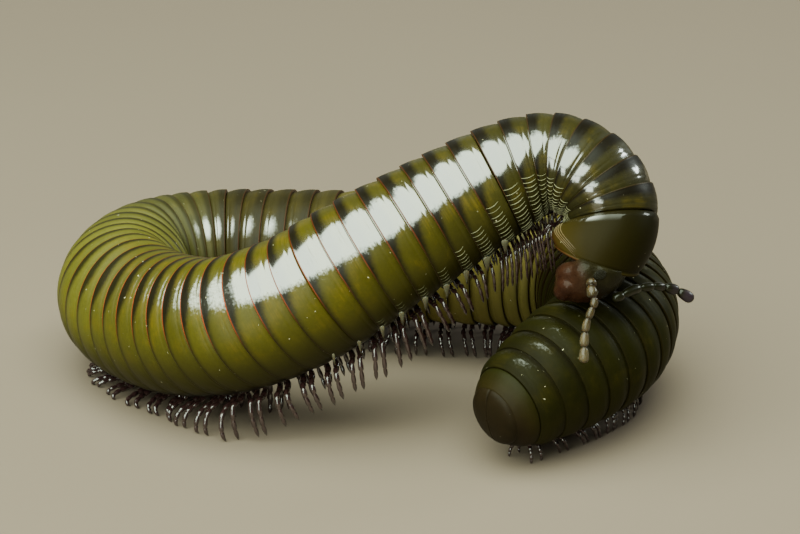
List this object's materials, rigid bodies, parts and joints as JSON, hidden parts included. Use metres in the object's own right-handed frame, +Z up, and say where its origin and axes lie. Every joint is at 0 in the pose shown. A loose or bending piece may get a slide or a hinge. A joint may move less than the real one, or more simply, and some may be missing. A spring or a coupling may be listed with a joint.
{
  "type": "spirostreptus millipede",
  "caption": "Life-size still model of an olive-green spirostreptus millipede, curled over its own tail with the head bowed.",
  "frame": {"origin": "on the floor, under the middle of the animal's box", "axes": "+X to the side where the head lies, +Y away from the viewer, +Z up"},
  "size_m": [0.0608, 0.043, 0.03],
  "materials": {
    "trunk_shell": "glossy olive-green shell with fine scratches",
    "dark_shell": "glossy dark brown-olive shell",
    "head_shell": "glossy reddish brown shell",
    "eye": "field of small black lenses",
    "pale_feeler": "pale brownish, a little translucent",
    "dusky_feeler": "dark purplish brown, glossy"
  },
  "bodies": {
    "root": {"head": "head_shell", "eye_right": "eye", "eye_left": "eye", "antenna_right": "pale_feeler", "antenna_left": "dusky_feeler", "collum": "dark_shell", "neck": "trunk_shell", "trunk_1": "trunk_shell", "trunk_2": "trunk_shell", "trunk_3": "trunk_shell", "trunk_4": "trunk_shell", "trunk_5": "trunk_shell", "trunk_6": "trunk_shell", "trunk_7": "trunk_shell", "trunk_8": "trunk_shell", "telson": "dark_shell", "valve_right": "dark_shell", "valve_left": "dark_shell"}
  },
  "joints": []
}
